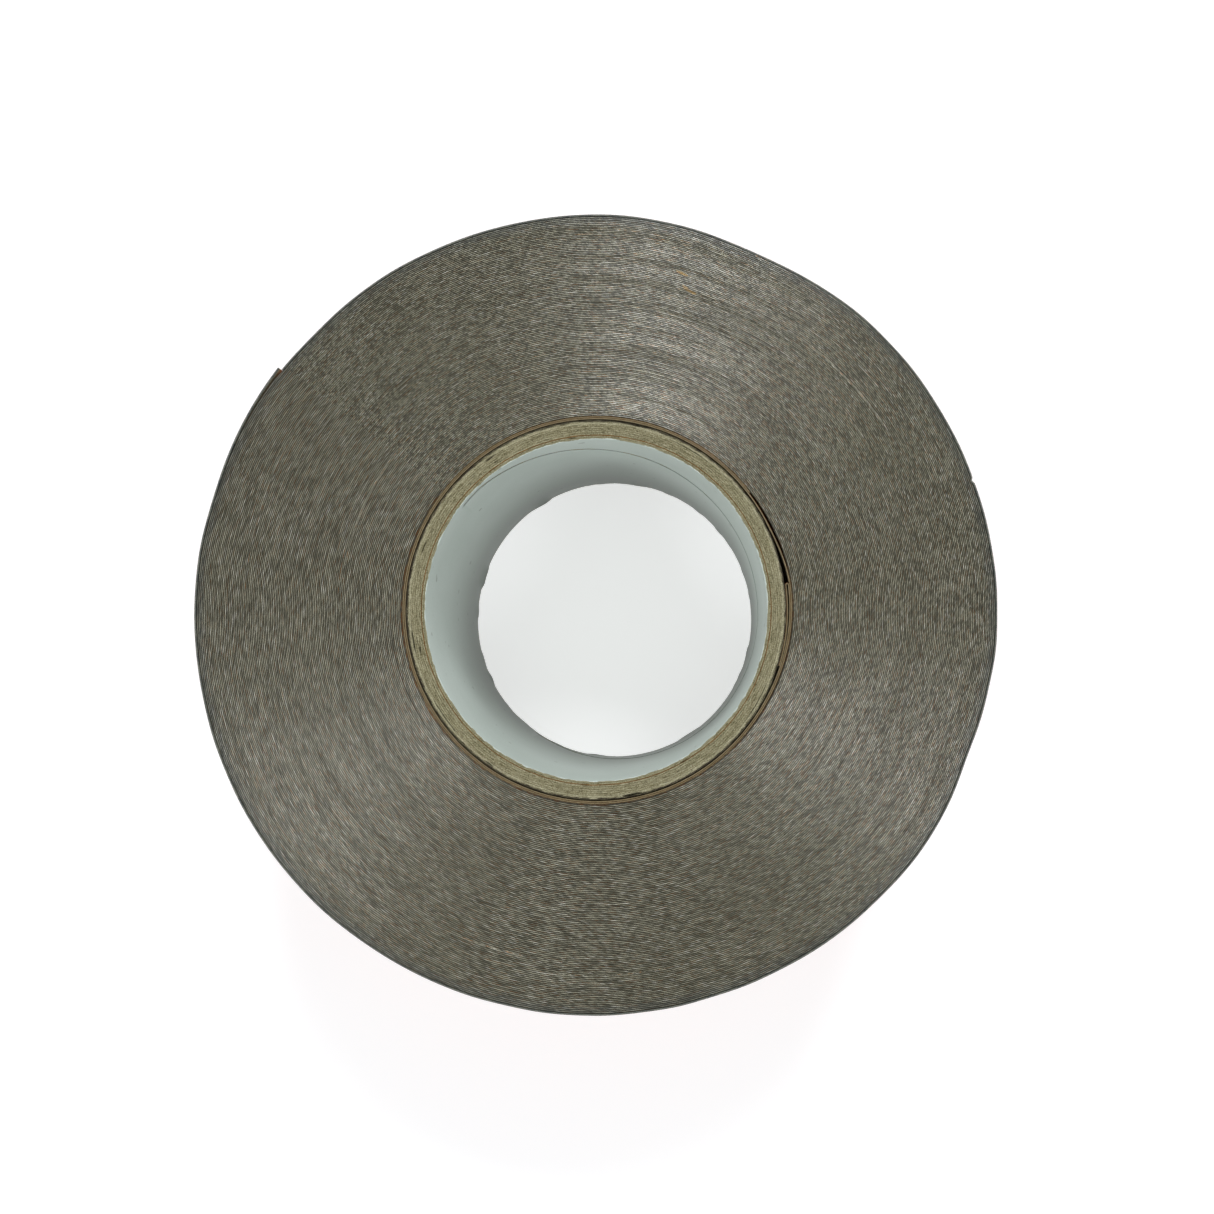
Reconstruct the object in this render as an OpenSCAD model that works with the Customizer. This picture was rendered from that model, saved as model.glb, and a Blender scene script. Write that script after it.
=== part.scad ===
// Roll of adhesive-backed copper foil tape on a paperboard core, lying on one end.
// +Z is the roll's axis. The origin is on the core's bore axis, at the bottom end.
// Seen from above, the tape winds outward clockwise.

/* [Core] */
// Inside diameter of the core
bore_d = 50.8; // [50:0.1:51.5]
// Wall thickness of the core
core_wall = 2.83; // [2.6:0.01:3.1]
// Thickness of the white ply that lines the bore
lining_t = 0.27; // [0.26:0.01:0.3]
// Thickness of each of the two outer plies
outer_ply_t = 0.31; // [0.25:0.01:0.35]
// Thickness of the glue line under the first body ply
glue_t = 0.06; // [0.04:0.01:0.08]

/* [Tape] */
// Width of the tape, which is also the core's length
tape_w = 50.8; // [25.4:0.1:76.2]
// Thickness of the copper foil
foil_t = 0.05; // [0.04:0.005:0.06]
// Thickness of the adhesive film
adhesive_t = 0.04; // [0.03:0.005:0.05]
// Thickness of the paper release liner
release_t = 0.13; // [0.1:0.005:0.14]
// Radial distance from one turn to the next
pitch = 0.257; // [0.255:0.001:0.27]
// Radius over the last turn, on the side where the tape starts it
roll_r = 59.5; // [50:0.1:65]

/* [Wound pack] */
// Radius of the hole that the pack leaves for the core and the loose turns
pack_hole_r = 29.12; // [29.1:0.01:29.3]
// How far the winding's middle sits off the core's axis
winding_shift = [-0.09, -0.77];
// How far the pack's hole sits off the core's axis
hole_shift = [0.18, -0.1];

/* [Free end] */
// Direction from the axis to the cut end of the tape
cut_end_at = 142; // [0:1:359]
// Arc of each of the four lifting lengths
lift_arc = 14.5; // [8:0.5:15]
// Arc of the last length, which stands a little off the roll
end_arc = 22; // [12:1:24]
// Bend radius of the last length
end_bend_r = 64.8; // [62:0.1:80]
// Clearance between the release liner and the adhesive where they peel apart
peel_gap = 0.015; // [0.01:0.005:0.02]

/* [Folded start] */
// Direction from the axis to the fold
fold_at = 7.5; // [0:0.5:20]
// Arc of the tape that is folded under
fold_arc = 24.5; // [10:0.5:30]
// Inside radius of the fold
fold_r = 0.13; // [0.1:0.01:0.13]
// Clearance between the core and the folded leg
core_gap = 0.05; // [0.03:0.01:0.06]

/* [Loose turns] */
// Radius inside the first turn
first_turn_r = 28.42; // [28.41:0.01:28.43]
// Radius inside the second turn
second_turn_r = 28.66; // [28.66:0.01:28.68]
// How much further out both turns lie where they leave or pass the fold
fold_rise = 0.34; // [0.34:0.01:0.35]
// Arc over which each turn settles again past the fold
settle_arc = 45; // [40:1:60]
// Arc wound before the tape starts to climb over the fold
climb_from = 331; // [325:1:335]
// Arc wound when it has climbed to the second turn
climb_to = 362; // [360:1:364]
// Arc wound from the fold to the end of the loose turns
loose_arc = 690; // [600:5:690]

/* [Hidden] */
$fn = 192;
LIFTS = 4;
PEELS = 3;
BODY_PLIES = 6;
OUTER_PLIES = 2;
// Flats that stand for the curves of the folded leg and of the fold
LEG_STEPS = 5;
FOLD_STEPS = 8;
// Arc of each flat of the loose turns
LOOSE_STEP = 5;
LAYERS = ["liner", "adhesive", "foil"];
BONDED = ["adhesive", "foil"];

bore_r = bore_d / 2;
core_r = bore_r + core_wall;
tape_t = release_t + adhesive_t + foil_t;
body_t = (core_wall - lining_t - glue_t - OUTER_PLIES * outer_ply_t) / BODY_PLIES;

// Inner radius of the last turn on its first half and on its second half
first_half_r = roll_r - tape_t;
second_half_r = first_half_r + pitch / 2;

// Arc from the cut end back to the root of the free end
root_arc = end_arc + LIFTS * lift_arc;
// Side of a square that reaches past the roll from anywhere in it
reach = 3 * roll_r;

// Where each layer of the tape begins, measured out from the liner's inner face
function layer_from(name) =
  name == "liner" ? 0 : name == "adhesive" ? release_t : release_t + adhesive_t;
function layer_t(name) =
  name == "liner" ? release_t : name == "adhesive" ? adhesive_t : foil_t;
function polar(r, a) = [r * cos(a), r * sin(a)];
function smooth(x) = let (t = min(max(x, 0), 1)) t * t * (3 - 2 * t);

// How far out a turn still lies, after winding by an angle past the fold
function settling(past) = fold_rise * (1 - smooth(past / settle_arc));

// Inner face of the loose turns, after winding clockwise by an angle from the fold.
// The first turn lies on the core, then climbs over the fold and becomes the second.
function loose_r(wound) =
  let (climb = smooth((wound - climb_from) / (climb_to - climb_from)))
  first_turn_r
    + (wound < climb_from ? settling(wound) : 0)
    + climb * (second_turn_r - first_turn_r + settling(wound - 360));
folded_leg_r = core_r + core_gap + tape_t;
fold_mid_r = folded_leg_r + fold_r;

// One face of the loose turns at a distance out from the liner's inner face: the leg
// that is folded under, then the round of the fold, then the turns.
function loose_face(out) = concat(
  [for (i = [0 : LEG_STEPS - 1])
    polar(folded_leg_r - out, fold_at - fold_arc * (1 - i / LEG_STEPS))],
  [for (i = [0 : FOLD_STEPS - 1])
    polar(fold_mid_r, fold_at)
      + polar(fold_r + out, fold_at + 180 * (1 - i / FOLD_STEPS))],
  [for (wound = [0 : LOOSE_STEP : loose_arc])
    polar(loose_r(wound) + out, fold_at - wound)]
);

module tube(r_in, r_out) {
  linear_extrude(tape_w)
    difference() {
      circle(r_out);
      circle(r_in);
    }
}

// Places what is drawn with the cut end of the tape on the +X side
module on_roll() {
  translate([winding_shift.x, winding_shift.y, 0]) rotate([0, 0, cut_end_at]) children();
}

// Half a disc of the wound tape. Each half turn is an arc about a centre of its own,
// so that the turns step out by half a pitch twice a turn: side is -1 on the first
// half, which runs clockwise from the cut end, and 1 on the second.
module half_disc(side, r) {
  translate([side * pitch / 4, 0])
    intersection() {
      circle(r);
      translate([-reach / 2, side > 0 ? 0 : -reach]) square(reach);
    }
}

module half_ring(side, r_in, thick) {
  difference() {
    half_disc(side, r_in + thick);
    translate([side * pitch / 4, 0]) circle(r_in);
  }
}

// An arc of strip about a point on the cut end's own axis, between two directions
module arc_strip(middle, r_in, thick, from, to) {
  on_roll()
    translate([middle.x, middle.y, 0])
      rotate([0, 0, from])
        rotate_extrude(angle = to - from)
          translate([r_in, 0]) square([thick, tape_w]);
}

module core_lining() {
  color("#c4cfc8") tube(bore_r, bore_r + lining_t);
}

module core_glue_line() {
  r = bore_r + lining_t + body_t;
  color("#7a6e4e") tube(r, r + glue_t);
}

module core_body_ply(i) {
  r = bore_r + lining_t + (i - 1) * body_t + (i > 1 ? glue_t : 0);
  color("#827d61") tube(r, r + body_t);
}

module core_outer_ply(i) {
  r = core_r - (OUTER_PLIES - i + 1) * outer_ply_t;
  color("#928c70") tube(r, r + outer_ply_t);
}

module layer_color(name) {
  color(name == "liner" ? "#b9b39a" : name == "adhesive" ? "#cfcabb" : "#b8734a")
    children();
}

module first_turns(name) {
  near_face = loose_face(layer_from(name));
  far_face = loose_face(layer_from(name) + layer_t(name));
  layer_color(name)
    linear_extrude(tape_w)
      polygon(concat(near_face, [for (i = [len(far_face) - 1 : -1 : 0]) far_face[i]]));
}

// All the turns between the loose ones and the last, as one solid
module tape_winding() {
  color("#686554")
    linear_extrude(tape_w)
      difference() {
        on_roll() {
          half_disc(-1, first_half_r - pitch + tape_t);
          half_disc(1, second_half_r - pitch + tape_t);
        }
        translate(hole_shift) circle(pack_hole_r);
      }
}

// The last turn as far as the root of the free end
module last_turn(name) {
  from = layer_from(name);
  thick = layer_t(name);
  layer_color(name)
    linear_extrude(tape_w)
      on_roll() {
        half_ring(-1, first_half_r + from, thick);
        difference() {
          half_ring(1, second_half_r + from, thick);
          translate([pitch / 4, 0]) rotate(root_arc) translate([0, -reach]) square(reach);
        }
      }
}

module tail(name, i) {
  to = root_arc - (i - 1) * lift_arc;
  layer_color(name)
    arc_strip(
      [pitch / 4, 0],
      second_half_r + layer_from(name),
      layer_t(name),
      to - lift_arc,
      to
    );
}

// The last length bends about a middle of its own, in line with its root
end_middle = [pitch / 4, 0] + polar(second_half_r + tape_t - end_bend_r, end_arc);
end_bend_arc = end_arc * (second_half_r + tape_t) / end_bend_r;
peel_arc = end_bend_arc / PEELS;

module tail_liner_end() {
  layer_color("liner")
    arc_strip(
      end_middle, end_bend_r - tape_t, release_t, end_arc - end_bend_arc, end_arc
    );
}

module peel(name, i) {
  to = end_arc - (i - 1) * peel_arc;
  from = layer_from(name) + (name == "adhesive" ? peel_gap : 0);
  layer_color(name)
    arc_strip(
      end_middle,
      end_bend_r - tape_t + from,
      layer_from(name) + layer_t(name) - from,
      to - peel_arc,
      to
    );
}

core_lining();
core_glue_line();
for (i = [1 : BODY_PLIES])
  core_body_ply(i);
for (i = [1 : OUTER_PLIES])
  core_outer_ply(i);
for (name = LAYERS)
  first_turns(name);
tape_winding();
for (name = LAYERS)
  last_turn(name);
for (i = [1 : LIFTS], name = LAYERS)
  tail(name, i);
tail_liner_end();
for (i = [1 : PEELS], name = BONDED)
  peel(name, i);
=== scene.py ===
"""Looks of the copper foil tape roll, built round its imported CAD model.

Lengths are in millimetres and directions in degrees about +Z, until a mesh is made in
metres. Seen from above the tape winds outward clockwise, so arcs wound count against the
directions."""

import math

import bpy
import numpy as np
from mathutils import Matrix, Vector


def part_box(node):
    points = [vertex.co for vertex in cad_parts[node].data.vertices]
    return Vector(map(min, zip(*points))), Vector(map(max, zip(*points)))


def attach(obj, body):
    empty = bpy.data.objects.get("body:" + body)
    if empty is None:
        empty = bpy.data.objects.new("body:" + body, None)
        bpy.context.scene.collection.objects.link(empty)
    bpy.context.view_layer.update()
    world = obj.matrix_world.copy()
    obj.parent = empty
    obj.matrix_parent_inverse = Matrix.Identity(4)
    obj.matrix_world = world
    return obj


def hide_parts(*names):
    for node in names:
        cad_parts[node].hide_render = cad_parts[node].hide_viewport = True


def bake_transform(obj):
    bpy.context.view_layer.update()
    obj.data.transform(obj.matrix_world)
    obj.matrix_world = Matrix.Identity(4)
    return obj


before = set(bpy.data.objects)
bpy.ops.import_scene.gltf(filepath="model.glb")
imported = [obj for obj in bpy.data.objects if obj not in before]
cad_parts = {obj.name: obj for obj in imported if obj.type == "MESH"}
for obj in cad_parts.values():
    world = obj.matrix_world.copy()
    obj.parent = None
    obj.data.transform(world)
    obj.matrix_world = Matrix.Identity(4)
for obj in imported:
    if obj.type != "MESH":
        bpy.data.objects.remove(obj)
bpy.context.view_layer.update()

MM = 0.001
LINING_T = 0.27
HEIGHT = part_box("core_lining")[1].z / MM
BORE_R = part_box("core_lining")[1].x / MM - LINING_T

# The core's rings, from the bore outward
LINING_OUT = 25.67
GLUE_IN, GLUE_OUT = 25.9833, 26.0433
BODY_OUT = 27.61
BODY_PLIES = 6
BODY_PLY_T = (BODY_OUT - GLUE_OUT) / (BODY_PLIES - 1)
OUTER_PLY_T = 0.31
CORE_OUT = 28.23
# A radius in the middle of the core's wall, and one at the pack's outer wall
MIDDLE_R, WALL_R = 27, 59

# Splits and torn places in the upper ends of the plies: direction, radius, reach round in
# degrees, reach across and depth
TORN = (
    (125, 27.6, 1.6, 0.12, 0.7), (124, 26.6, 0.8, 0.1, 0.4), (190, 27.62, 3.4, 0.09, 0.8),
    (193, 26.9, 1.2, 0.1, 0.5), (235, 27.9, 1.4, 0.14, 0.7), (281, 27.95, 2.6, 0.12, 0.8),
    (78, 28.1, 5.0, 0.12, 0.35), (26, 28.2, 1.2, 0.16, 0.5), (38, 28.2, 0.8, 0.14, 0.5),
    (300, 26.0, 1.2, 0.1, 0.4), (98, 25.8, 1.6, 0.1, 0.4), (160, 27.3, 2.0, 0.06, 0.3),
    (215, 27.61, 5.0, 0.05, 0.35), (330, 27.61, 6.0, 0.04, 0.3), (60, 27.61, 5.0, 0.04, 0.3),
)

# The seam in the bore's lining: where it leaves the upper end, the arc over which it winds
# down the whole bore, how near the ends its rows come, and the half width of its groove
SEAM_FROM = 143
SEAM_ARC = 270
SEAM_CLEAR = 1.8
SEAM_HALF = 0.4

# The layers of the tape: distance from the liner's back, and thickness
LINER_T, ADHESIVE_T, FOIL_T = 0.13, 0.04, 0.05
TAPE_T = LINER_T + ADHESIVE_T + FOIL_T
LAYERS = {
    "liner": (0.0, LINER_T),
    "adhesive": (LINER_T, ADHESIVE_T),
    "foil": (LINER_T + ADHESIVE_T, FOIL_T),
}

# The winding. Each half turn is an arc about its own centre: X and Y of that centre, and
# the inner radius of the last turn on that half
PITCH = 0.257
CUT_AT = 142.0
NEAR = (-0.0394, -0.8096, 59.28)
FAR = (-0.1406, -0.7304, 59.4085)

# The free end, at arcs wound from the last turn's start
ROOT_W = 280.0
LIFT_ARC = 14.5
END_W = 338.0
END_MIDDLE = (4.831, -2.156)
END_R = 64.8
PEEL_ARC = 6.748

# The loose turns: they climb over the fold late in the first turn, and settle past it
FOLD_AT, FOLD_ARC, FOLD_R, FOLD_MID_R = 7.5, 24.5, 0.13, 28.63
FIRST_TURN_R, SECOND_TURN_OUT, FOLD_RISE = 28.42, 0.24, 0.34
CLIMB_FROM, CLIMB_ARC, SETTLE_ARC = 340, 22, 45
LOOSE_ARC = 690.0

# Where the winding is out of round: direction, how far out, and half its spread. It is
# round up to one radius and takes all of this over the next stretch
OUT_OF_ROUND = (
    (65, -0.62, 11), (91, 0.16, 9), (136, -0.28, 8), (162, -0.18, 7), (219, 0.2, 18),
    (288, -0.2, 12), (326, 0.2, 8), (339, -0.46, 9), (6, 0.22, 16), (36, 0.12, 16),
)
ROUND_TO, UNROUND_OVER = 36, 23

# The nick in the last turn's upper edge
NICK_AT, NICK_SPREAD, NICK_DEPTH, NICK_HEIGHT = 19.0, 0.3, 0.25, 3

# Bits of glue on the pack's upper end: direction, distance, half length, half width
FLECKS = ((75.7, 51.7, 1.0, 0.16), (73.7, 49.5, 1.1, 0.2), (74.6, 49.9, 0.5, 0.12))


def linear(r, g, b):
    """A colour given as it shows on a screen, 0 to 255, as the renderer's numbers."""
    def one(v):
        v /= 255
        return v / 12.92 if v <= 0.04045 else ((v + 0.055) / 1.055) ** 2.4
    return one(r), one(g), one(b), 1.0


def smooth(x):
    t = np.clip(x, 0, 1)
    return t * t * (3 - 2 * t)


def off_by(direction, at):
    """How far a direction is past another, from -180 to 180 degrees."""
    return (direction - at + 180) % 360 - 180


def wobble(turns, seed, lowest, highest):
    """A smooth wobble of about 1 either way, the same at 0 and at 1 turn."""
    rng = np.random.default_rng(seed)
    total = np.zeros_like(turns, float)
    for k in range(lowest, highest + 1):
        total += rng.normal() * np.sin(2 * np.pi * (k * turns + rng.random()))
    return total / math.sqrt(highest - lowest + 1)


def grain(shape, seed, reach):
    """Random heights that are alike over a reach of points along the first axis."""
    raw = np.random.default_rng(seed).normal(size=shape)
    near = range(-reach, reach + 1)
    total = sum(np.roll(raw, k, 0) * (1 - abs(k) / (reach + 1)) for k in near)
    return total / total.std()


def in_the_round(points):
    """The wound tape as it really lies: out of round, a little dented, nicked at one edge."""
    p = points.copy()
    x, y, z = p[..., 0], p[..., 1], p[..., 2]
    r, a = np.hypot(x, y), np.degrees(np.arctan2(y, x))
    out = np.zeros_like(r)
    for at, far, spread in OUT_OF_ROUND:
        out += far * np.exp(-((off_by(a, at) / spread) ** 2))
    turns = a / 360
    out += 0.03 * wobble(turns, 5, 14, 40)
    out += 0.02 * wobble(turns + 0.3 * z / HEIGHT, 8, 6, 20) * np.sin(np.pi * z / HEIGHT)
    out *= smooth((r - ROUND_TO) / UNROUND_OVER)
    nick = np.exp(-(((a - NICK_AT) / NICK_SPREAD) ** 2)) * smooth((r - 58.2) / 0.9)
    nick *= smooth((z - HEIGHT + NICK_HEIGHT) / NICK_HEIGHT)
    out -= NICK_DEPTH * nick
    p[..., 0] += x / r * out
    p[..., 1] += y / r * out
    return p


# ------------------------------------------------------------------ meshes


def flat_points(a, r):
    """X and Y of points at directions in radians and distances from the axis."""
    return np.stack([np.cos(a) * r, np.sin(a) * r], -1)


def round_points(a, r, z):
    """Points at directions in radians, distances from the axis, and heights."""
    return np.stack(np.broadcast_arrays(np.cos(a) * r, np.sin(a) * r, z), -1)


def volume_of(verts, quads):
    """Six times the volume inside the quads, below 0 if they face inward."""
    a, b, c, d = (verts[quads[:, k]] for k in range(4))
    halves = np.einsum("ij,ij->", a, np.cross(b, c)), np.einsum("ij,ij->", a, np.cross(c, d))
    return float(sum(halves))


def solid(name, verts, quads, ngons=(), marks=None):
    """A closed mesh object. Marks are numbers or vectors kept at the points for the material."""
    flip = volume_of(verts, quads) < 0
    faces = (quads[:, ::-1] if flip else quads).tolist()
    faces += [list(f)[::-1] if flip else list(f) for f in ngons]
    mesh = bpy.data.meshes.new(name)
    mesh.from_pydata((verts * MM).tolist(), [], faces)
    mesh.polygons.foreach_set("use_smooth", np.ones(len(mesh.polygons), bool))
    mesh.set_sharp_from_angle(angle=math.radians(40))
    for key, values in (marks or {}).items():
        kind, field = ("FLOAT", "value") if values.ndim == 1 else ("FLOAT_VECTOR", "vector")
        layer = mesh.attributes.new(key, kind, "POINT")
        layer.data.foreach_set(field, values.astype(np.float32).ravel())
    mesh.update()
    obj = bpy.data.objects.new(name, mesh)
    bpy.context.scene.collection.objects.link(obj)
    return obj


def sweep(name, points, closed, marks=None):
    """A solid through closed sections, points[along][round]. It closes on itself or is capped."""
    n, m = points.shape[:2]
    at = np.arange(n * m).reshape(n, m)
    a = at if closed else at[:-1]
    b = np.roll(at, -1, 0) if closed else at[1:]
    quads = np.stack([a, b, np.roll(b, -1, 1), np.roll(a, -1, 1)], -1).reshape(-1, 4)
    caps = [] if closed else [at[0].tolist(), at[-1][::-1].tolist()]
    return solid(name, points.reshape(-1, 3), quads, caps, marks)


def torn(direction, r):
    """How deep the core's upper end is torn at a direction and a radius."""
    depth = 0.0
    for at, at_r, reach, width, deep in TORN:
        off = off_by(direction, at)
        depth = depth + deep * np.exp(-((off / reach) ** 4) - ((r - at_r) / width) ** 2)
    return depth


def ring(name, r_in, r_out, steps, across, seed, rough):
    """A tube with rough, eased ends, the upper one torn. Across gives the ends' points."""
    a = 2 * np.pi * (np.arange(steps) / steps)[:, None]
    rows = np.array(across)
    r = r_in + (r_out - r_in) * rows
    eased = 0.045 * (1 - smooth(np.minimum(rows, 1 - rows) / 0.2))
    ends = []
    for seed_of_end in (seed, seed + 50):
        ends.append(eased + rough * np.abs(grain((steps, len(rows)), seed_of_end, 2)))
    top = round_points(a, r, HEIGHT - (ends[0] + torn(np.degrees(a), r)))
    bottom = round_points(a, r, ends[1])
    return sweep(name, np.concatenate([top, bottom[:, ::-1]], 1), True)


# ------------------------------------------------------------------ materials


class Surface:
    """A node material, with short calls for the nodes that its pattern is made of."""

    def __init__(self, name, **fixed):
        self.material = bpy.data.materials.new(name)
        self.material.use_nodes = True
        self.tree = self.material.node_tree
        self.shader = self.tree.nodes["Principled BSDF"]
        for key, value in fixed.items():
            self.shader.inputs[key.replace("_", " ")].default_value = value

    def add(self, kind, **settings):
        node = self.tree.nodes.new("ShaderNode" + kind)
        for key, value in settings.items():
            setattr(node, key, value)
        return node

    def put(self, socket, value):
        if isinstance(value, bpy.types.NodeSocket):
            self.tree.links.new(value, socket)
        else:
            socket.default_value = value

    def fill(self, node, *values):
        for socket, value in zip(node.inputs, values):
            self.put(socket, value)
        return node.outputs[0]

    def math(self, operation, *values):
        return self.fill(self.add("Math", operation=operation), *values)

    def plus(self, a, b):
        return self.math("ADD", a, b)

    def minus(self, a, b):
        return self.math("SUBTRACT", a, b)

    def times(self, a, b):
        return self.math("MULTIPLY", a, b)

    def over(self, a, b):
        return self.math("DIVIDE", a, b)

    def vector(self, x, y, z):
        return self.fill(self.add("CombineXYZ"), x, y, z)

    def split(self, vector):
        node = self.add("SeparateXYZ")
        self.put(node.inputs[0], vector)
        return node.outputs

    def place(self):
        """X, Y and Z of the point in millimetres."""
        point = self.add("TexCoord").outputs["Object"]
        return [self.times(s, 1 / MM) for s in self.split(point)]

    def polar(self):
        """Distance from the axis in millimetres, direction in turns, and height."""
        x, y, z = self.place()
        r = self.math("SQRT", self.plus(self.times(x, x), self.times(y, y)))
        return r, self.over(self.math("ARCTAN2", y, x), 2 * math.pi), z

    def mark(self, name, part="Fac"):
        """A number or vector kept at the mesh's points."""
        return self.add("Attribute", attribute_name=name).outputs[part]

    def noise(self, vector, scale=1.0, detail=2.0, roughness=0.5):
        node = self.add("TexNoise")
        for key, value in (
            ("Vector", vector), ("Scale", scale), ("Detail", detail), ("Roughness", roughness)
        ):
            self.put(node.inputs[key], value)
        return node.outputs["Fac"]

    def step(self, value, low, high, to_low=0.0, to_high=1.0):
        """From to_low to to_high, smoothly, as value goes from low to high."""
        node = self.add("MapRange", interpolation_type="SMOOTHSTEP")
        return self.fill(node, value, low, high, to_low, to_high)

    def near_ends(self, z, far, near, inside=0.0, at_end=1.0):
        """Goes from inside to at_end between two distances from the roll's upper and lower end."""
        off_middle = self.math("ABSOLUTE", self.minus(z, HEIGHT / 2))
        return self.step(off_middle, HEIGHT / 2 - far, HEIGHT / 2 - near, inside, at_end)

    def mix(self, share, a, b, blend="MIX"):
        node = self.add("Mix", data_type="RGBA", blend_type=blend)
        self.put(node.inputs["Factor"], share)
        self.put(node.inputs[6], a)
        self.put(node.inputs[7], b)
        return node.outputs[2]

    def finish(self, colour, roughness=None, height=None, depth=0.02):
        """Colour, roughness, and relief of a depth in millimetres from heights of 0 to 1."""
        self.put(self.shader.inputs["Base Color"], colour)
        if roughness is not None:
            self.put(self.shader.inputs["Roughness"], roughness)
        if height is not None:
            bump = self.add("Bump")
            bump.inputs["Strength"].default_value = 1.0
            bump.inputs["Distance"].default_value = depth * MM
            self.put(bump.inputs["Height"], height)
            self.put(self.shader.inputs["Normal"], bump.outputs[0])
        return self.material


def chipboard(name, dark, middle, light, edge, edge_in, edge_out, flaking, ply_t):
    """Grey-brown board of matted fibres that run round the core, with dark specks in it.

    The edge colour fills a band between two radii, ragged by as much as it flakes: the glue's own
    colour on the body plies, painted shadow at the outer plies' rim."""
    s = Surface(name, Roughness=0.92, Specular_IOR_Level=0.2)
    r, a, z = s.polar()
    place = s.vector(*s.place())
    along = s.times(a, 2 * math.pi * MIDDLE_R)
    fibres = s.noise(s.vector(s.times(along, 0.9), s.times(r, 8.0), z), 1.0, 3.0, 0.6)
    matted = s.noise(place, 5.0, 3.0, 0.75)
    specks = s.noise(s.vector(s.times(along, 2.6), s.times(r, 5.0), 7.0), 1.0, 1.0, 0.4)
    patches = s.noise(s.vector(s.times(along, 0.25), s.times(r, 0.9), 3.0), 1.0, 2.0, 0.5)
    tone = s.plus(s.times(fibres, 0.45), s.times(matted, 0.55))
    colour = s.mix(s.step(tone, 0.4, 0.5), dark, middle)
    colour = s.mix(s.step(tone, 0.5, 0.62), colour, light)
    colour = s.mix(s.step(specks, 0.65, 0.72, 0.0, 0.75), colour, linear(46, 40, 26))
    colour = s.mix(s.step(patches, 0.45, 0.7, 0.0, 0.2), colour, light)
    ply = s.math("FRACT", s.over(s.minus(r, GLUE_OUT), ply_t))
    joint = s.step(s.math("ABSOLUTE", s.minus(ply, 0.5)), 0.36, 0.47)
    colour = s.mix(s.times(joint, s.step(patches, 0.3, 0.6, 0.2, 0.6)), colour, dark)
    flakes = s.noise(s.vector(s.times(along, 0.45), 0.0, 11.0), 1.0, 4.0, 0.7)
    ragged = s.plus(r, s.times(s.minus(flakes, 0.5), flaking))
    in_band = s.step(ragged, edge_in - 0.06, edge_in)
    in_band = s.times(in_band, s.step(ragged, edge_out, edge_out + 0.08, 1.0, 0.0))
    in_band = s.times(in_band, s.step(fibres, 0.3, 0.55, 0.3, 0.95))
    # the edge band: glue on the body board, painted shadow of the gap to the winding on the outer
    # board
    colour = s.mix(in_band, colour, edge)
    return s.finish(colour, height=tone, depth=0.08)


def rolled_copper(s, along, up, place):
    """Fine rolling lines along the foil, a few smudges and spots: relief, colour, roughness."""
    lines = s.noise(s.vector(s.times(along, 0.06), s.times(up, 7.0), 0.0), 1.0, 4.0, 0.7)
    smudge = s.noise(place, 0.09, 4.0, 0.6)
    spots = s.noise(place, 0.5, 2.0, 0.5)
    colour = s.mix(s.step(smudge, 0.35, 0.68), linear(172, 102, 70), linear(196, 126, 92))
    colour = s.mix(s.step(lines, 0.35, 0.7, 0.0, 0.5), colour, linear(142, 78, 52))
    colour = s.mix(s.step(spots, 0.68, 0.78, 0.0, 0.35), colour, linear(96, 52, 40))
    rough = s.plus(s.step(lines, 0.3, 0.7, 0.2, 0.34), s.step(smudge, 0.45, 0.7, 0.0, 0.14))
    return lines, colour, rough


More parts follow.
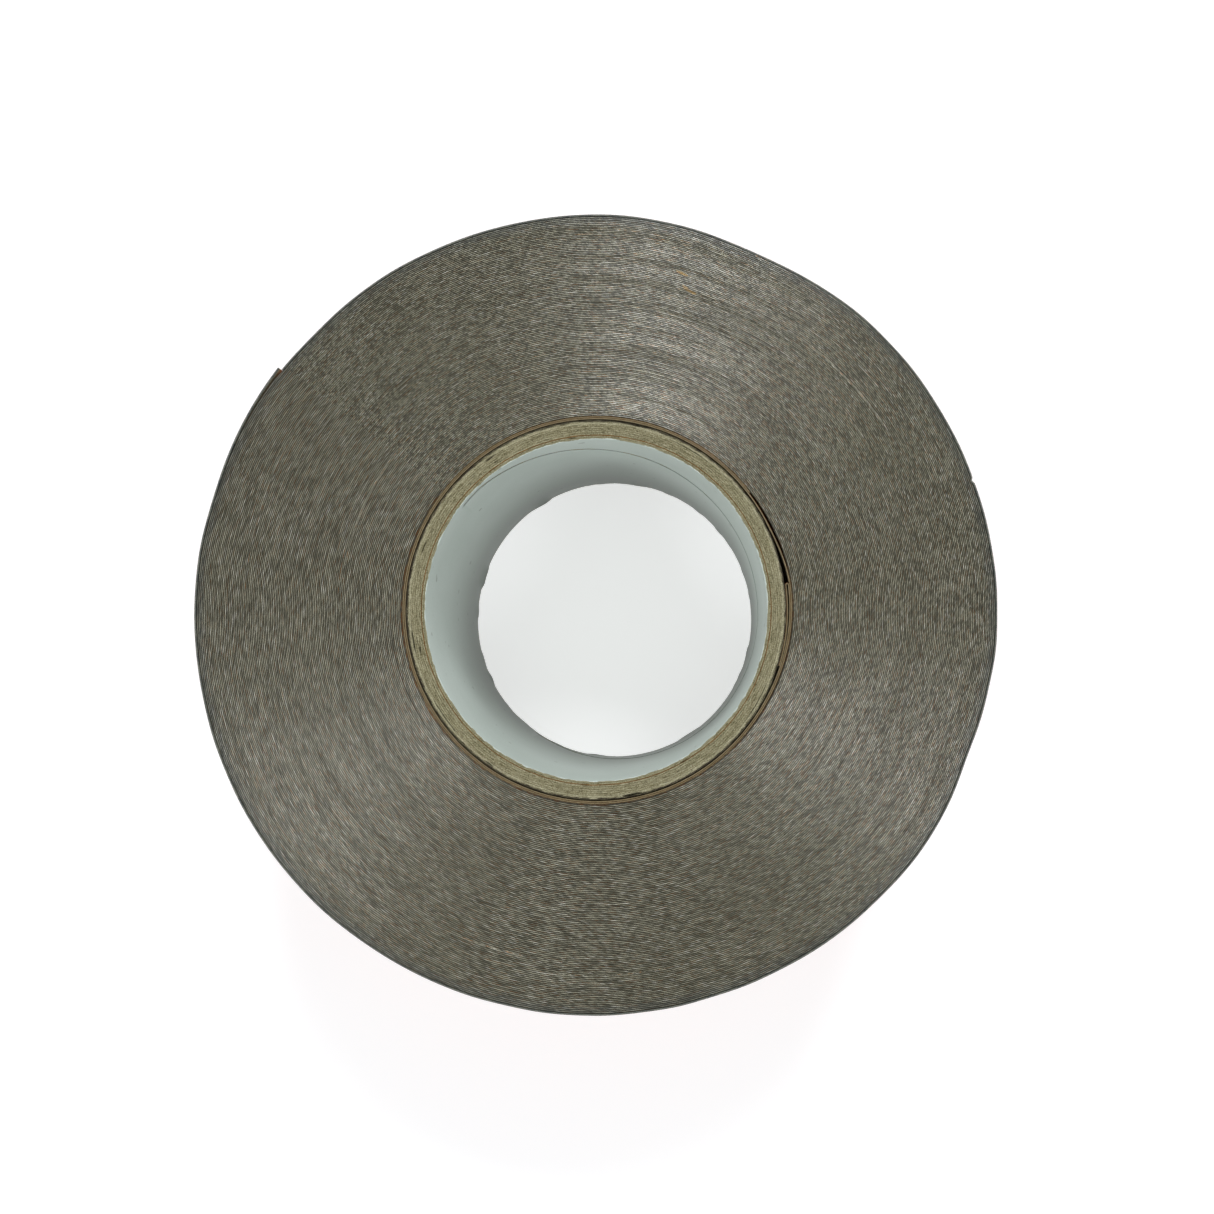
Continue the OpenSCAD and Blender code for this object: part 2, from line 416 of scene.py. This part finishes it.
def wound_ends():
    """The pack: paper liner, adhesive and copper show as fine streaks along each turn of its
    ends, and its outer wall, which shows where the free end lifts, is copper."""
    s = Surface("wound_tape", Specular_IOR_Level=0.6)
    r, a, z = s.polar()
    wound = s.math("FRACT", s.plus(s.times(a, -1.0), CUT_AT / 360 + 2))
    turn = s.minus(s.mark("wound"), wound)
    nth = s.math("FLOOR", turn)
    part = s.minus(turn, nth)
    along = s.times(wound, s.times(r, 2 * math.pi))
    # far enough apart in the noise that no turn looks like the next
    row = s.times(nth, 13.7)
    long_ = s.noise(s.vector(s.times(along, 0.5), row, 0.0), 1.0, 2.0, 0.6)
    short = s.noise(s.vector(s.times(along, 1.7), row, 40.0), 1.0, 2.0, 0.6)
    red = s.noise(s.vector(s.times(along, 0.8), row, 80.0), 1.0, 1.0, 0.5)
    pale = s.noise(s.vector(s.times(along, 0.9), row, 120.0), 1.0, 1.0, 0.5)
    speck = s.noise(s.vector(s.times(along, 3.5), s.times(turn, 3.1), 9.0), 1.0, 1.0, 0.5)
    cloud = s.noise(s.vector(*s.place()), 0.05, 3.0, 0.55)
    tone = s.plus(s.times(long_, 0.45), s.times(short, 0.55))

    # the liner fills the first half of a turn, then come the adhesive and the copper
    liner = s.mix(s.step(tone, 0.4, 0.6), linear(94, 91, 73), linear(152, 149, 130))
    liner = s.mix(s.step(pale, 0.58, 0.68, 0.0, 0.7), liner, linear(190, 188, 176))
    liner = s.mix(s.step(speck, 0.6, 0.72, 0.0, 0.6), liner, linear(30, 28, 22))
    foil = s.mix(s.step(red, 0.5, 0.62), linear(112, 109, 98), linear(138, 94, 58))
    glue = s.mix(s.step(short, 0.4, 0.6), linear(44, 41, 27), linear(82, 76, 53))
    colour = s.mix(s.step(part, 0.5, 0.56), liner, glue)
    colour = s.mix(s.step(part, 0.68, 0.72), colour, foil)
    # painted shade: dark bands at the start and end of each turn stand for the shadowed gap
    # between turns
    dark = s.plus(s.step(part, 0.0, 0.11, 1.0, 0.0), s.step(part, 0.86, 0.93))
    colour = s.mix(s.times(dark, 0.95), colour, linear(22, 18, 10))
    colour = s.mix(s.step(cloud, 0.3, 0.7, 0.0, 0.2), colour, linear(82, 78, 56))
    shade = s.step(tone, 0.4, 0.6, 0.72, 1.04)
    colour = s.mix(1.0, colour, s.vector(shade, shade, shade), "MULTIPLY")

    # the outermost turns are slate grey, and a few bits of glue lie on the upper end
    colour = s.mix(s.step(turn, 109.0, 115.0, 0.0, 0.35), colour, linear(66, 72, 74))
    arc = s.times(a, 360.0)
    for at, at_r, reach, width in FLECKS:
        off = s.over(s.times(s.minus(arc, at), math.radians(at_r)), reach)
        across = s.over(s.minus(r, s.plus(s.times(off, width), at_r)), width)
        far = s.plus(s.math("POWER", off, 4.0), s.math("POWER", across, 2.0))
        colour = s.mix(s.step(far, 0.6, 1.2, 0.8, 0.0), colour, linear(132, 104, 50))

    metal = s.times(s.step(part, 0.56, 0.66), s.step(part, 0.88, 0.94, 1.0, 0.0))
    wall = s.near_ends(z, 1.0, 0.7, 1.0, 0.0)
    place = s.vector(*s.place())
    _, face, dull = rolled_copper(s, s.times(a, 2 * math.pi * WALL_R), z, place)
    s.put(s.shader.inputs["Metallic"], s.math("MAXIMUM", s.times(metal, 0.9), wall))
    rough = s.math("MAXIMUM", s.step(tone, 0.35, 0.65, 0.42, 0.26), s.times(dull, wall))
    uneven = s.times(s.plus(speck, tone), s.minus(1.0, wall))
    return s.finish(s.mix(wall, colour, face), rough, uneven, 0.022)


def lining_paper():
    """The smooth pale paper of the bore: a dark seam where its strip meets itself, painted shade
    that darkens it down the bore, and torn at its upper rim, where grey board shows beyond it."""
    s = Surface("bore_lining", Roughness=0.5, Specular_IOR_Level=0.4)
    r, a, z = s.polar()
    place = s.vector(*s.place())
    cloud = s.noise(place, 0.06, 3.0, 0.5)
    fibre = s.noise(place, 3.0, 3.0, 0.6)
    colour = s.mix(s.step(cloud, 0.3, 0.7), linear(176, 186, 178), linear(184, 193, 186))
    colour = s.mix(s.step(fibre, 0.42, 0.75, 0.0, 0.12), colour, linear(140, 150, 141))
    specks = s.noise(place, 0.7, 0.0, 0.5)
    colour = s.mix(s.step(specks, 0.82, 0.85, 0.0, 0.5), colour, linear(96, 98, 84))
    colour = s.mix(s.times(s.mark("seam"), 0.92), colour, linear(52, 56, 50))
    # painted shade: the paper darkens towards the bottom of the bore, where less light reaches
    colour = s.mix(s.step(z, 0.0, HEIGHT - 10, 0.85, 0.0), colour, linear(92, 98, 90))
    ragged = s.noise(s.vector(s.times(a, 2 * math.pi * 25), 0.0, 5.0), 0.55, 4.0, 0.65)
    torn_at = s.plus(s.times(ragged, 0.75), BORE_R - 0.27)
    # it never tears as far in as the bore's wall
    beyond = s.minus(r, s.math("MAXIMUM", torn_at, BORE_R + 0.04))
    colour = s.mix(s.step(beyond, -0.02, 0.02), colour, linear(126, 120, 92))
    return s.finish(colour, None, fibre, 0.012)


def paper_liner(name, edge, edge_light):
    """The release liner: brownish paper, with cut edges of two streaky tones."""
    s = Surface(name, Roughness=0.55, Specular_IOR_Level=0.4)
    tape = s.mark("tape", "Vector")
    fibre = s.noise(tape, 2.2, 3.0, 0.6)
    along, up, out = s.split(tape)
    colour = s.mix(s.step(fibre, 0.35, 0.65), linear(176, 164, 134), linear(198, 188, 160))
    streak = s.noise(s.vector(s.times(along, 0.6), s.times(out, 8.0), 2.0), 1.0, 3.0, 0.6)
    edges = s.mix(s.step(streak, 0.4, 0.6), edge, edge_light)
    return s.finish(s.mix(s.near_ends(up, 0.4, 0.25), colour, edges), None, fibre, 0.01)


def adhesive(name, colour_a, colour_b):
    """The adhesive: a slightly lumpy film of two tones, glossy in places."""
    s = Surface(name, Roughness=0.35, Specular_IOR_Level=0.5)
    lumps = s.noise(s.mark("tape", "Vector"), 1.4, 3.0, 0.55)
    colour = s.mix(s.step(lumps, 0.35, 0.65), colour_a, colour_b)
    return s.finish(colour, s.step(lumps, 0.3, 0.7, 0.3, 0.55), lumps, 0.01)


def copper(name, edge):
    """Rolled copper foil, with duller cut edges."""
    s = Surface(name, Metallic=1.0)
    tape = s.mark("tape", "Vector")
    along, up, _ = s.split(tape)
    lines, colour, rough = rolled_copper(s, along, up, tape)
    return s.finish(s.mix(s.near_ends(up, 0.35, 0.2), colour, edge), rough, lines, 0.006)


# ------------------------------------------------------------------ the scene

# The sky is white near the horizon and dimmer overhead
world = bpy.data.worlds.new("studio")
world.use_nodes = True
tree = world.node_tree
background = tree.nodes["Background"]
background.inputs["Color"].default_value = (0.98, 0.99, 1.0, 1.0)
direction = tree.nodes.new("ShaderNodeSeparateXYZ")
tree.links.new(tree.nodes.new("ShaderNodeTexCoord").outputs["Generated"], direction.inputs[0])
dimming = tree.nodes.new("ShaderNodeMapRange")
tree.links.new(direction.outputs[2], dimming.inputs["Value"])
for key, value in (("From Min", 0.15), ("From Max", 0.5), ("To Min", 0.96), ("To Max", 0.3)):
    dimming.inputs[key].default_value = value
tree.links.new(dimming.outputs[0], background.inputs["Strength"])
bpy.context.scene.world = world
bpy.context.scene.view_settings.view_transform = "Standard"

# Soft lamps, at the elevation whose light the facets of the winding send straight up.
# Distance and size are in metres
LAMP_ELEVATION, LAMP_DISTANCE, LAMP_SIZE = 43, 1.5, 0.5
LAMP_COLOUR = (0.95, 0.975, 1.0)


def lamp(name, azimuth, watts):
    """A square softbox that faces the middle of the roll."""
    data = bpy.data.lights.new(name, "AREA")
    data.shape, data.size, data.energy, data.color = "SQUARE", LAMP_SIZE, watts, LAMP_COLOUR
    obj = bpy.data.objects.new(name, data)
    a, e = math.radians(azimuth), math.radians(LAMP_ELEVATION)
    way = Vector((math.cos(a) * math.cos(e), math.sin(a) * math.cos(e), math.sin(e)))
    obj.location = Vector((0, 0, HEIGHT * MM / 2)) + way * LAMP_DISTANCE
    obj.rotation_mode = "QUATERNION"
    obj.rotation_quaternion = way.to_track_quat("Z", "Y")
    bpy.context.scene.collection.objects.link(obj)


lamp("upper", 80, 14.0)
lamp("left", 210, 9.5)
lamp("right", 330, 7.5)

# The floor, in metres: half its side, and its height just under the roll
FLOOR, FLOOR_Z = 30.0, -1e-4
corners = [(x * FLOOR, y * FLOOR, FLOOR_Z) for x, y in ((-1, -1), (1, -1), (1, 1), (-1, 1))]
floor_mesh = bpy.data.meshes.new("floor")
floor_mesh.from_pydata(corners, [], [(0, 1, 2, 3)])
floor = bpy.data.objects.new("floor", floor_mesh)
bpy.context.scene.collection.objects.link(floor)
paper = Surface("pale_floor", Roughness=0.9, Specular_IOR_Level=0.1)
paper.shader.inputs["Emission Color"].default_value = (1, 1, 1, 1)
# a little light from below, and more of it where the lamps hardly reach: in the bore and
# far off
from_axis = paper.polar()[0]
glow_near = paper.step(from_axis, 30.0, 55.0, 0.62, 0.3)
glow_far = paper.step(from_axis, 500.0, 2500.0, 0.0, 0.36)
paper.put(paper.shader.inputs["Emission Strength"], paper.plus(glow_near, glow_far))
mottle = paper.noise(paper.add("TexCoord").outputs["Object"], 3.0, 2.0)
mottled = paper.mix(mottle, (0.76, 0.76, 0.76, 1), (0.8, 0.8, 0.8, 1))
floor_mesh.materials.append(paper.finish(mottled))

lens = bpy.data.cameras.new("camera")
lens.sensor_width, lens.lens = 36.0, 39.8
lens.shift_x, lens.shift_y = -0.066, 0.0424
lens.clip_start, lens.clip_end = 0.01, 100
camera = bpy.data.objects.new("camera", lens)
camera.location = (13.5 * MM, -7.2 * MM, 250.3 * MM)
bpy.context.scene.collection.objects.link(camera)
bpy.context.scene.camera = camera

# ------------------------------------------------------------------ the core

body_board = chipboard(
    "body_board", linear(84, 78, 54), linear(128, 122, 94), linear(158, 153, 126),
    linear(112, 78, 38), GLUE_IN - 0.02, GLUE_OUT, 0.2, BODY_PLY_T,
)
# its dark edge band is painted shadow: the shaded gap between the core's outer rim and the winding
outer_board = chipboard(
    "outer_board", linear(106, 100, 74), linear(142, 137, 110), linear(172, 167, 140),
    linear(34, 26, 15), CORE_OUT - 0.2, CORE_OUT + 0.3, 0.6, OUTER_PLY_T,
)

# Points round a ply, and across its wall
PLY_STEPS, GLUE_STEPS = 640, 360
PLY_ACROSS, GLUE_ACROSS = (0, 0.1, 0.3, 0.5, 0.7, 0.9, 1), (0, 0.5, 1)

core_pieces = {}
for i in range(1, BODY_PLIES + 1):
    r0 = LINING_OUT if i == 1 else GLUE_OUT + (i - 2) * BODY_PLY_T
    r1 = GLUE_IN if i == 1 else r0 + BODY_PLY_T
    obj = ring(f"body_ply_{i}", r0, r1, PLY_STEPS, PLY_ACROSS, i, 0.035)
    core_pieces[f"core_body_ply_{i}"] = (obj, body_board, "core_body_ply")
glue_line = ring("glue_line", GLUE_IN, GLUE_OUT, GLUE_STEPS, GLUE_ACROSS, 20, 0.05)
core_pieces["core_glue_line"] = (glue_line, body_board, "core_glue")
for i in (1, 2):
    r0 = BODY_OUT + (i - 1) * OUTER_PLY_T
    obj = ring(f"outer_ply_{i}", r0, r0 + OUTER_PLY_T, PLY_STEPS, PLY_ACROSS, 30 + i, 0.03)
    core_pieces[f"core_outer_ply_{i}"] = (obj, outer_board, "core_outer_ply")


def bore_lining():
    """The lining, as rows of points round the bore. Those of its inner wall follow the seam,
    and go back up, unseen, on the quarter of the bore that it leaves."""
    steps = 480
    turns = np.arange(steps) / steps
    a = 2 * np.pi * turns
    wound = (SEAM_FROM - 360 * turns) % 360
    falling = HEIGHT * (1 - wound / SEAM_ARC)
    rising = HEIGHT * (wound - SEAM_ARC) / (360 - SEAM_ARC)
    seam_z = np.where(wound < SEAM_ARC, falling, rising)
    seam_z = np.clip(seam_z, SEAM_CLEAR, HEIGHT - SEAM_CLEAR)
    open_seam = smooth(wound / 2) * smooth((SEAM_ARC - 2 - wound) / 2)
    ragged = np.abs(grain((steps,), 71, 2))
    far_edge = 0.16 * wobble(turns, 72, 8, 26) + 0.05 * grain((steps,), 73, 3)
    rows = []
    marks = []

    def row(r, z, seam=0.0):
        rows.append(round_points(a, r, z))
        marks.append(np.broadcast_to(seam, (steps,)))

    # the ragged far edge, which hangs a little into the bore
    row(BORE_R + 0.1, 0.03 + 0.05 * ragged)
    row(BORE_R + 0.02 - np.clip(far_edge, -0.02, 0.35), 0.25)
    row(BORE_R - 0.4 * np.clip(far_edge, 0, 0.3), 0.6)
    # the wall below the seam, the raised lip and the groove of the seam, the wall above
    for k in range(1, 6):
        row(BORE_R, 0.6 + (seam_z - 1.3) * k / 6)
    row(BORE_R - 0.03 * open_seam, seam_z - SEAM_HALF - 0.1)
    row(BORE_R + 0.15 * open_seam, seam_z - SEAM_HALF, open_seam)
    row(BORE_R + 0.15 * open_seam, seam_z + SEAM_HALF, open_seam)
    row(BORE_R, seam_z + SEAM_HALF + 0.1)
    for k in range(1, 6):
        row(BORE_R, seam_z + 0.6 + (HEIGHT - 1.1 - seam_z) * k / 6)
    # the upper rim, then the outer wall
    row(BORE_R, HEIGHT - 0.3 - 0.05 * ragged)
    row(BORE_R + 0.03 + 0.02 * ragged, HEIGHT - 0.06 - 0.05 * ragged)
    row(BORE_R + 0.13 + 0.02 * ragged, HEIGHT - 0.02 - 0.04 * np.roll(ragged, 3))
    row(LINING_OUT, HEIGHT - 0.05 - 0.04 * np.roll(ragged, 9))
    row(LINING_OUT, 0.05 + 0.03 * ragged)
    return sweep("lining", np.stack(rows, 1), True, {"seam": np.stack(marks, 1).ravel()})


core_pieces["core_lining"] = (bore_lining(), lining_paper(), "core_lining")

# ------------------------------------------------------------------ the wound pack


def pack_outside(wound):
    """The pack's outer radius about the roll's axis, at an arc wound from the cut end."""
    out = []
    for w in wound:
        cx, cy, r = NEAR if w < 180 else FAR
        r -= PITCH - TAPE_T
        t = math.radians(CUT_AT - w)
        along = cx * math.cos(t) + cy * math.sin(t)
        across = cx * math.sin(t) - cy * math.cos(t)
        out.append(along + math.sqrt(r * r - across * across))
    return np.array(out)


def loose_radius(w):
    """The loose turns' inner radius at an arc wound from the fold, which they ride over."""
    climb = smooth((w - CLIMB_FROM) / CLIMB_ARC)
    settling = FOLD_RISE * (1 - smooth(w / SETTLE_ARC))
    passing = FOLD_RISE * (1 - smooth((w - 360) / SETTLE_ARC))
    settling = np.where(w < CLIMB_FROM, settling, 0.0)
    return FIRST_TURN_R + settling + climb * (SECOND_TURN_OUT + passing)


def hole_radius(wound):
    """The pack's inner radius at an arc wound from the cut end: just clear of the loose turns."""
    clearance, look, spread = 0.035, 8, 4
    back = (FOLD_AT - (CUT_AT - wound)) % 360
    outer = []
    for way in back:
        near = (way + np.arange(-look, look + 0.1, 1.0)) % 360
        both = np.concatenate([near, near + 360])
        outer.append(loose_radius(both[both < LOOSE_ARC]).max() + TAPE_T)
    outer = np.array(outer)
    evened = sum(np.roll(outer, k) for k in range(-spread, spread + 1)) / (2 * spread + 1)
    return evened + clearance


def wound_pack():
    """Points, faces and marks of the pack. Each of its ends is one spiral surface with a
    sawtooth across every turn, whose long facet leans outward and catches the lamps."""
    turns, steps = 116, 142
    # where in a turn each point lies, and how far it falls under the turn's crest
    into_turn = np.array([0.0, 0.1, 0.62])
    fall = np.array([0.1, 0.0, 0.058])
    crest_depth, rim_depth = 0.16, 0.3
    per_turn = len(into_turn)
    count = turns * per_turn + 1
    q = np.arange(count)
    w = 360 * np.arange(steps) / steps
    t = np.radians(CUT_AT - w)
    hole = hole_radius(w)
    outside = pack_outside(w)
    wound = q // per_turn + into_turn[q % per_turn]
    first = (outside[0] - hole[0]) / PITCH - turns
    turned = wound[None, :] + (w / 360)[:, None]
    turns_across = first + turns + w / 360
    share = (first + turned) / turns_across[:, None]
    r = hole[:, None] + (outside - hole)[:, None] * share
    ends = []
    for end in (1, 0):
        # unevenness that carries on along the tape, and slow waves from turn to turn
        rng = np.random.default_rng(90 + end)
        line = rng.normal(size=(turns + 3) * steps)
        reach = np.hanning(41)
        line = np.convolve(line, reach / reach.sum(), "same")
        at = (q // per_turn)[None, :] * steps + np.arange(steps)[:, None]
        uneven = 0.022 * (line / line.std())[at]
        slow = 0.05 * np.sin(2 * np.pi * (turned / 41 + 0.2))
        slow += 0.04 * np.sin(2 * np.pi * turned / 13.3)
        down = np.clip(fall[q % per_turn] + crest_depth + uneven + slow, 0.01, 0.6)
        grid = round_points(t[:, None], r, HEIGHT - down if end else down)
        rim = round_points(t, hole, HEIGHT - rim_depth if end else rim_depth)
        ends.append(np.concatenate([rim[:, None], grid], 1))
    cols = count + 1
    verts = np.concatenate([e.reshape(-1, 3) for e in ends])
    marks = np.concatenate([(w / 360 - 0.5)[:, None], turned], 1)
    quads, ngons = [], []
    for k in (0, 1):
        at = np.arange(steps * cols).reshape(steps, cols) + k * steps * cols
        a, b = at[:-1], at[1:]
        flat = np.stack([a[:, :-1], b[:, :-1], b[:, 1:], a[:, 1:]], -1).reshape(-1, 4)
        # past the last direction, each row goes on as the row one turn further out
        last, next_ = at[-1, 1:], at[0, 1:]
        n = count - per_turn
        on = [last[: n - 1], next_[per_turn:-1], next_[per_turn + 1 :], last[1:n]]
        flat = np.concatenate([flat, np.stack(on, -1)])
        inner = [at[-1, 0], at[0, 0]] + next_[: per_turn + 1].tolist() + [last[0]]
        outer = [last[n - 1], next_[-1]] + last[n:][::-1].tolist()
        if k:
            flat = flat[:, ::-1]
            inner, outer = inner[::-1], outer[::-1]
        quads.append(flat)
        ngons += [[int(v) for v in inner], [int(v) for v in outer]]
    # the inner and the outer wall
    top = np.arange(steps * cols).reshape(steps, cols)
    low = top + steps * cols
    for side in (0, cols - 1):
        a, b = top[:, side], np.roll(top[:, side], -1)
        c, d = np.roll(low[:, side], -1), low[:, side]
        quads.append(np.stack([a, d, c, b] if side else [a, b, c, d], -1))
    return verts, np.concatenate(quads), ngons, np.tile(marks.ravel(), 2)


verts, quads, ngons, marks = wound_pack()
pack = solid("wound_pack", in_the_round(verts), quads, ngons, {"wound": marks})

# ------------------------------------------------------------------ strips of tape

# Heights of a strip's points, as shares of its width
LEVELS = (
    0, 0.004, 0.03, 0.09, 0.17, 0.26, 0.36, 0.46, 0.56, 0.66, 0.76, 0.85, 0.92, 0.97, 0.996, 1,
)
LOOSE_LEVELS = (0, 0.01, 0.5, 0.99, 1)
# Arc over which the waviness of the tape's edges repeats
WAVY_ARC = 375

# Arcs between a strip's points: on the last turn, on the free end and where the foil peels
TURN_STEP, TAIL_STEP, PEEL_STEP = 1.0, 0.5, 0.35
NICK_ARCS = CUT_AT - NICK_AT + np.arange(-1.5, 1.6, 0.15)
# The last turn stops short of the free end's root
KEPT_W = ROOT_W - 3


def strip(name, faces_xy, arc, layer, levels, shaped=True):
    """A layer of tape: faces_xy(out) gives its path at a distance out from the liner's back."""
    start, thick = LAYERS[layer]
    inner, outer = faces_xy(start), faces_xy(start + thick)
    n = len(inner)
    wave = arc / WAVY_ARC
    low = 0.05 + 0.035 * wobble(wave, 3, 1, 9) + 0.02 * wobble(wave, 4, 12, 40)
    high = HEIGHT - 0.06 - 0.035 * wobble(wave, 6, 1, 9) - 0.02 * wobble(wave, 7, 12, 40)
    share = np.array(levels)
    z = low[:, None] + (high - low)[:, None] * share
    back, front = (
        np.concatenate([np.broadcast_to(xy[:, None], (n, len(share), 2)), z[..., None]], -1)
        for xy in (inner, outer)
    )
    points = np.concatenate([back, front[:, ::-1]], 1)
    depth = np.repeat([[start, start + thick]], len(share), 1) + np.zeros((n, 1))
    tape = np.stack([np.broadcast_to(arc[:, None], depth.shape), points[..., 2], depth], -1)
    if shaped:
        points = in_the_round(points)
    return sweep(name, points, False, {"tape": tape.reshape(-1, 3)})


def last_turn_path(w):
    """Points of the last turn and the free end at arcs wound from the last turn's start."""
    def at(out):
        near, on_end = w < 180, w > END_W
        centre = np.where(near[:, None], NEAR[:2], FAR[:2])
        centre = np.where(on_end[:, None], END_MIDDLE, centre)
        r = np.where(near, NEAR[2], FAR[2]) + out
        r = np.where(on_end, END_R - TAPE_T + out, r)
        return centre + flat_points(np.radians(CUT_AT - w), r)
    return at


def loose_path(out):
    """The folded leg, the round of the fold, then the loose turns."""
    leg = np.radians(np.linspace(FOLD_AT - FOLD_ARC, FOLD_AT, 12)[:-1])
    fold = math.radians(FOLD_AT)
    around = fold + np.radians(np.linspace(180, 0, 13)[:-1])
    w = np.arange(0, LOOSE_ARC + 0.1, 2.5)
    return np.concatenate([
        flat_points(leg, FOLD_MID_R - FOLD_R - out),
        flat_points(fold, FOLD_MID_R) + flat_points(around, FOLD_R + out),
        flat_points(np.radians(FOLD_AT - w), loose_radius(w) + out),
    ])


def arcs(start, end, size):
    return np.linspace(start, end, max(2, math.ceil((end - start) / size) + 1))


def bend_at(obj):
    """Bake obj's placement into its mesh."""
    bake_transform(obj)


def dress(obj, material, node):
    obj.data.materials.append(material)
    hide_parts(node)


outer_looks = {
    "liner": paper_liner("release_liner_outer", linear(68, 72, 70), linear(102, 104, 94)),
    "adhesive": adhesive("adhesive_outer", linear(82, 82, 74), linear(140, 136, 120)),
    "foil": copper("copper_foil_outer", linear(66, 66, 66)),
}
inner_looks = {
    "liner": paper_liner("release_liner_inner", linear(104, 90, 60), linear(122, 108, 78)),
    "adhesive": adhesive("adhesive_inner", linear(50, 38, 22), linear(92, 76, 48)),
    "foil": copper("copper_foil_inner", linear(112, 76, 42)),
}


def outer_strip(name, w, layer, node):
    obj = strip(name, last_turn_path(w), w, layer, LEVELS)
    dress(obj, outer_looks[layer], node)
    return obj


for layer in LAYERS:
    w = np.unique(np.concatenate([arcs(0, KEPT_W, TURN_STEP), NICK_ARCS]))
    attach(outer_strip(f"last_turn_of_{layer}", w, layer, f"last_turn_{layer}"), "roll")

    # each length is cut halfway between two hinges
    start = KEPT_W
    for i in range(1, 5):
        hinge_w = ROOT_W + (i - 1) * LIFT_ARC
        end = hinge_w + LIFT_ARC / 2
        if i == 4 and layer != "liner":
            end = END_W
        w = arcs(start, end, TAIL_STEP)
        obj = outer_strip(f"free_{layer}_{i}", w, layer, f"tail_{layer}_{i}")
        bend_at(obj)
        start = end
    cut_w = END_W + 3 * PEEL_ARC
    if layer == "liner":
        w = np.concatenate([arcs(start, END_W, TAIL_STEP), arcs(END_W + 0.25, cut_w, TAIL_STEP)])
        obj = outer_strip("free_liner_end", w, layer, "tail_liner_end")
        bend_at(obj)
        continue
    # the first cut lies just past the length's root, where its own bend radius begins
    cuts = [END_W + 1e-6, END_W + PEEL_ARC / 2, END_W + 1.5 * PEEL_ARC, cut_w]
    for i in (1, 2, 3):
        w = arcs(cuts[i - 1], cuts[i], PEEL_STEP)
        obj = outer_strip(f"peeling_{layer}_{i}", w, layer, f"peel_{layer}_{i}")
        hinge_w = END_W + (i - 1) * PEEL_ARC
        bend_at(obj)

for layer in LAYERS:
    arc = np.linspace(0, LOOSE_ARC + 25, len(loose_path(0.0)))
    name = f"loose_turns_of_{layer}"
    obj = strip(name, loose_path, arc, layer, LOOSE_LEVELS, shaped=False)
    dress(obj, inner_looks[layer], f"first_turns_{layer}")
    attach(obj, "roll")

for node, (obj, material, slot) in core_pieces.items():
    dress(obj, material, node)
    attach(obj, "roll")
dress(pack, wound_ends(), "tape_winding")
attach(pack, "roll")
